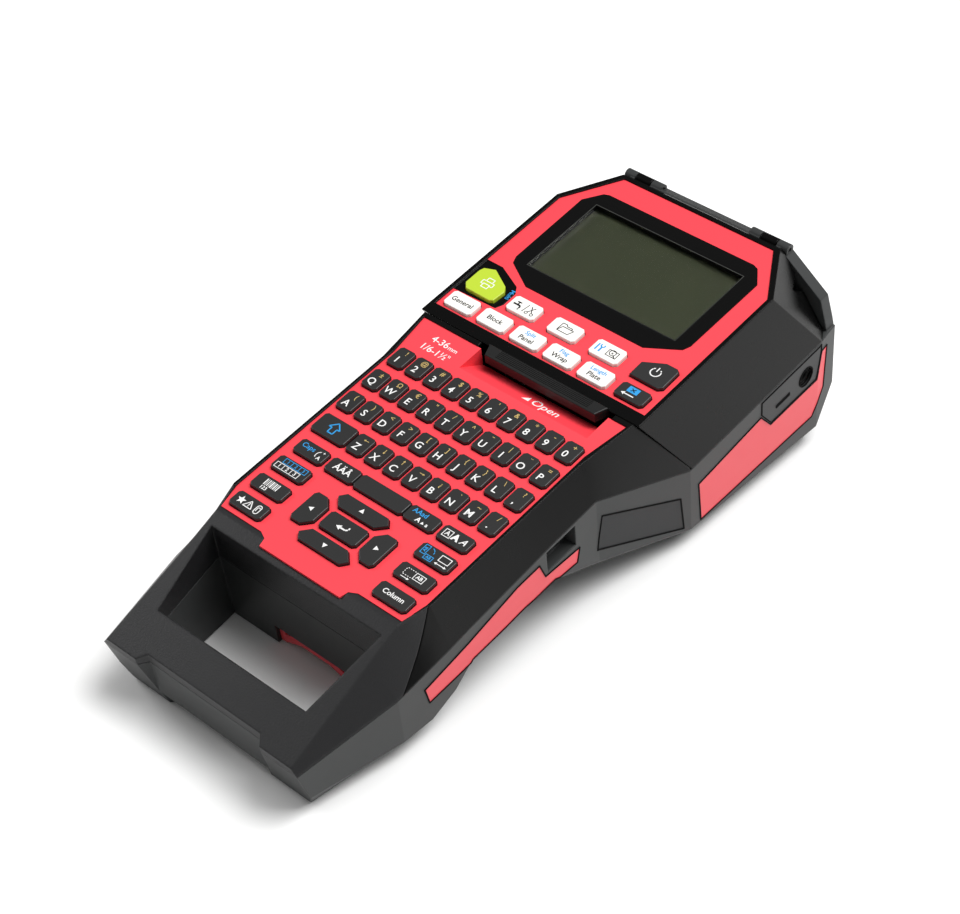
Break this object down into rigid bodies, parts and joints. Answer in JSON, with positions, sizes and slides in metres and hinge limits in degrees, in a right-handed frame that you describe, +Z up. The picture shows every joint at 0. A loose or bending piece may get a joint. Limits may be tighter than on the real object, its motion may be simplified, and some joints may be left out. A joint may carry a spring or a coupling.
{
  "type": "handheld label maker",
  "caption": "Handheld label maker with a loop handle, full keyboard, display cover hinged over a tape bay, tape cassette, print works and battery.",
  "frame": {"origin": "on the table, under the middle of the body's length and width", "axes": "+Z up, +Y from the handle towards the display end, +X to the right of a user who holds the handle"},
  "size_m": [0.136, 0.3256, 0.0968],
  "materials": {
    "housing_dark": "satin",
    "handle_grain": "fine grain",
    "frame_black": "satin",
    "cover_gloss": "gloss",
    "panel_red": "satin",
    "inlay_red": "satin",
    "grip_dark": "satin",
    "foot_rubber": "matte",
    "screw_steel": "satin",
    "board_green": "satin",
    "connector_black": "satin",
    "bay_grey": "satin",
    "motor_can": "satin",
    "head_ceramic": "satin",
    "window_clear": "clear",
    "lcd_glass": "gloss",
    "cassette_shell": "satin",
    "label_tape": "matte",
    "roller_rubber": "matte",
    "gear_white": "satin",
    "pinion_brass": "satin",
    "pack_black": "satin",
    "latch_red": "satin",
    "key_black": "satin",
    "key_blue": "satin",
    "key_lime": "satin",
    "key_white": "satin"
  },
  "bodies": {
    "machine": {"lower_housing": "housing_dark", "handle_shell": "handle_grain", "keyboard_frame": "frame_black", "deck_panel": "panel_red", "key_mat": "foot_rubber", "key_circuit_board": "board_green", "main_circuit_board": "board_green", "front_side_inlays": "inlay_red", "rear_side_inlays": "inlay_red", "waist_grips": "grip_dark", "rubber_feet": "foot_rubber", "housing_screws": "screw_steel", "usb_socket": "connector_black", "dc_jack": "connector_black", "dc_jack_plate": "grip_dark", "tape_bay_frame": "bay_grey", "gear_plate": "screw_steel", "drive_motor": "motor_can", "print_head": "head_ceramic", "hinge_pins": "screw_steel", "battery_contacts": "screw_steel"},
    "cover": {"cover_shell": "cover_gloss", "cover_face": "panel_red", "lcd_bezel": "cover_gloss", "lcd_window": "window_clear", "lcd_panel": "lcd_glass", "cover_circuit_board": "board_green", "cover_liner": "bay_grey", "lift_lip": "frame_black"},
    "cassette": {"cassette_case": "cassette_shell", "tape_roll": "label_tape"},
    "platen": {"platen_roller": "roller_rubber", "platen_gear": "gear_white"},
    "idler": {"idler_gear": "gear_white"},
    "spindle": {"ribbon_spindle": "gear_white"},
    "pinion": {"motor_pinion": "pinion_brass"},
    "cutter": {"cutter_blade": "screw_steel"},
    "battery": {"battery_pack": "pack_black", "battery_cover": "pack_black"},
    "latch": {"battery_latch": "latch_red"},
    "number_row_keys": {"number_row_keys": "key_black"},
    "upper_letter_keys": {"upper_letter_keys": "key_black"},
    "middle_letter_keys": {"middle_letter_keys": "key_black"},
    "lower_letter_keys": {"lower_letter_keys": "key_black"},
    "shift_key": {"shift_key": "key_black"},
    "edit_keys": {"edit_keys": "key_black"},
    "space_bar": {"space_bar": "key_black"},
    "symbol_keys": {"symbol_keys": "key_black"},
    "layout_keys": {"layout_keys": "key_black"},
    "enter_key": {"enter_key": "key_black"},
    "up_arrow_key": {"up_arrow_key": "key_black"},
    "down_arrow_key": {"down_arrow_key": "key_black"},
    "left_arrow_key": {"left_arrow_key": "key_black"},
    "right_arrow_key": {"right_arrow_key": "key_black"},
    "print_key": {"print_key": "key_lime"},
    "power_key": {"power_key": "key_black"},
    "backspace_key": {"backspace_key": "key_blue"},
    "tool_keys": {"tool_keys": "key_white"},
    "mode_keys": {"mode_keys": "key_white"}
  },
  "joints": [
    {"name": "cover_hinge", "type": "hinge", "parent": "machine", "child": "cover", "pos_m": [0, 0.1482, 0.0942], "axis": [-1, 0, 0], "range_deg": [0, 75]},
    {"name": "cassette_lift", "type": "slide", "parent": "machine", "child": "cassette", "axis": [0, -0.1564, 0.9877], "range_m": [0, 0.01245]},
    {"name": "idler_spin", "type": "hinge", "parent": "machine", "child": "idler", "pos_m": [-0.032, 0.08501, 0.01119], "axis": [0, -0.1564, 0.9877], "continuous": true},
    {"name": "platen_spin", "type": "hinge", "parent": "machine", "child": "platen", "pos_m": [-0.052, 0.09307, 0.01247], "axis": [0, -0.1564, 0.9877], "continuous": true},
    {"name": "spindle_spin", "type": "hinge", "parent": "machine", "child": "spindle", "pos_m": [-0.01401, 0.09681, 0.01306], "axis": [0, -0.1564, 0.9877], "continuous": true},
    {"name": "pinion_spin", "type": "hinge", "parent": "machine", "child": "pinion", "pos_m": [-0.032, 0.06841, 0.00856], "axis": [0, -0.1564, 0.9877], "continuous": true},
    {"name": "cutter_slide", "type": "slide", "parent": "machine", "child": "cutter", "axis": [0, 0.9877, 0.1564], "range_m": [0, 0.005]},
    {"name": "battery_slide", "type": "slide", "parent": "machine", "child": "battery", "axis": [0, 0.1564, -0.9877], "range_m": [0, 0.04]},
    {"name": "latch_swing", "type": "hinge", "parent": "machine", "child": "latch", "pos_m": [0, -0.09861, 0.00833], "axis": [-1, 0, 0], "range_deg": [0, 50]},
    {"name": "number_row_press", "type": "slide", "parent": "machine", "child": "number_row_keys", "axis": [0, 0.1564, -0.9877], "range_m": [0, 0.001], "stiffness_N_per_m": 2000},
    {"name": "upper_letter_press", "type": "slide", "parent": "machine", "child": "upper_letter_keys", "axis": [0, 0.1564, -0.9877], "range_m": [0, 0.001], "stiffness_N_per_m": 2000},
    {"name": "middle_letter_press", "type": "slide", "parent": "machine", "child": "middle_letter_keys", "axis": [0, 0.1564, -0.9877], "range_m": [0, 0.001], "stiffness_N_per_m": 2000},
    {"name": "lower_letter_press", "type": "slide", "parent": "machine", "child": "lower_letter_keys", "axis": [0, 0.1564, -0.9877], "range_m": [0, 0.001], "stiffness_N_per_m": 1600},
    {"name": "shift_press", "type": "slide", "parent": "machine", "child": "shift_key", "axis": [0, 0.1564, -0.9877], "range_m": [0, 0.001], "stiffness_N_per_m": 400},
    {"name": "edit_press", "type": "slide", "parent": "machine", "child": "edit_keys", "axis": [0, 0.1564, -0.9877], "range_m": [0, 0.001], "stiffness_N_per_m": 800},
    {"name": "space_bar_press", "type": "slide", "parent": "machine", "child": "space_bar", "axis": [0, 0.1564, -0.9877], "range_m": [0, 0.001], "stiffness_N_per_m": 400},
    {"name": "symbol_press", "type": "slide", "parent": "machine", "child": "symbol_keys", "axis": [0, 0.1564, -0.9877], "range_m": [0, 0.001], "stiffness_N_per_m": 400},
    {"name": "layout_press", "type": "slide", "parent": "machine", "child": "layout_keys", "axis": [0, 0.1564, -0.9877], "range_m": [0, 0.001], "stiffness_N_per_m": 400},
    {"name": "enter_press", "type": "slide", "parent": "machine", "child": "enter_key", "axis": [0, 0.1564, -0.9877], "range_m": [0, 0.001], "stiffness_N_per_m": 400},
    {"name": "up_arrow_press", "type": "slide", "parent": "machine", "child": "up_arrow_key", "axis": [0, 0.1564, -0.9877], "range_m": [0, 0.001], "stiffness_N_per_m": 400},
    {"name": "down_arrow_press", "type": "slide", "parent": "machine", "child": "down_arrow_key", "axis": [0, 0.1564, -0.9877], "range_m": [0, 0.001], "stiffness_N_per_m": 400},
    {"name": "left_arrow_press", "type": "slide", "parent": "machine", "child": "left_arrow_key", "axis": [0, 0.1564, -0.9877], "range_m": [0, 0.001], "stiffness_N_per_m": 400},
    {"name": "right_arrow_press", "type": "slide", "parent": "machine", "child": "right_arrow_key", "axis": [0, 0.1564, -0.9877], "range_m": [0, 0.001], "stiffness_N_per_m": 400},
    {"name": "print_press", "type": "slide", "parent": "cover", "child": "print_key", "axis": [0, 0.1564, -0.9877], "range_m": [0, 0.001], "stiffness_N_per_m": 400},
    {"name": "power_press", "type": "slide", "parent": "cover", "child": "power_key", "axis": [0, 0.1564, -0.9877], "range_m": [0, 0.001], "stiffness_N_per_m": 400},
    {"name": "backspace_press", "type": "slide", "parent": "cover", "child": "backspace_key", "axis": [0, 0.1564, -0.9877], "range_m": [0, 0.001], "stiffness_N_per_m": 400},
    {"name": "tool_press", "type": "slide", "parent": "cover", "child": "tool_keys", "axis": [0, 0.1564, -0.9877], "range_m": [0, 0.001], "stiffness_N_per_m": 400},
    {"name": "mode_press", "type": "slide", "parent": "cover", "child": "mode_keys", "axis": [0, 0.1564, -0.9877], "range_m": [0, 0.001], "stiffness_N_per_m": 800}
  ],
  "couplings": [
    {"joint": "platen_spin", "follows": "idler_spin", "ratio": -1.25},
    {"joint": "spindle_spin", "follows": "idler_spin", "ratio": -1.25},
    {"joint": "pinion_spin", "follows": "idler_spin", "ratio": -2.5},
    {"joint": "cassette_lift", "follows": "cover_hinge", "m_per_rad": 0.0095}
  ]
}
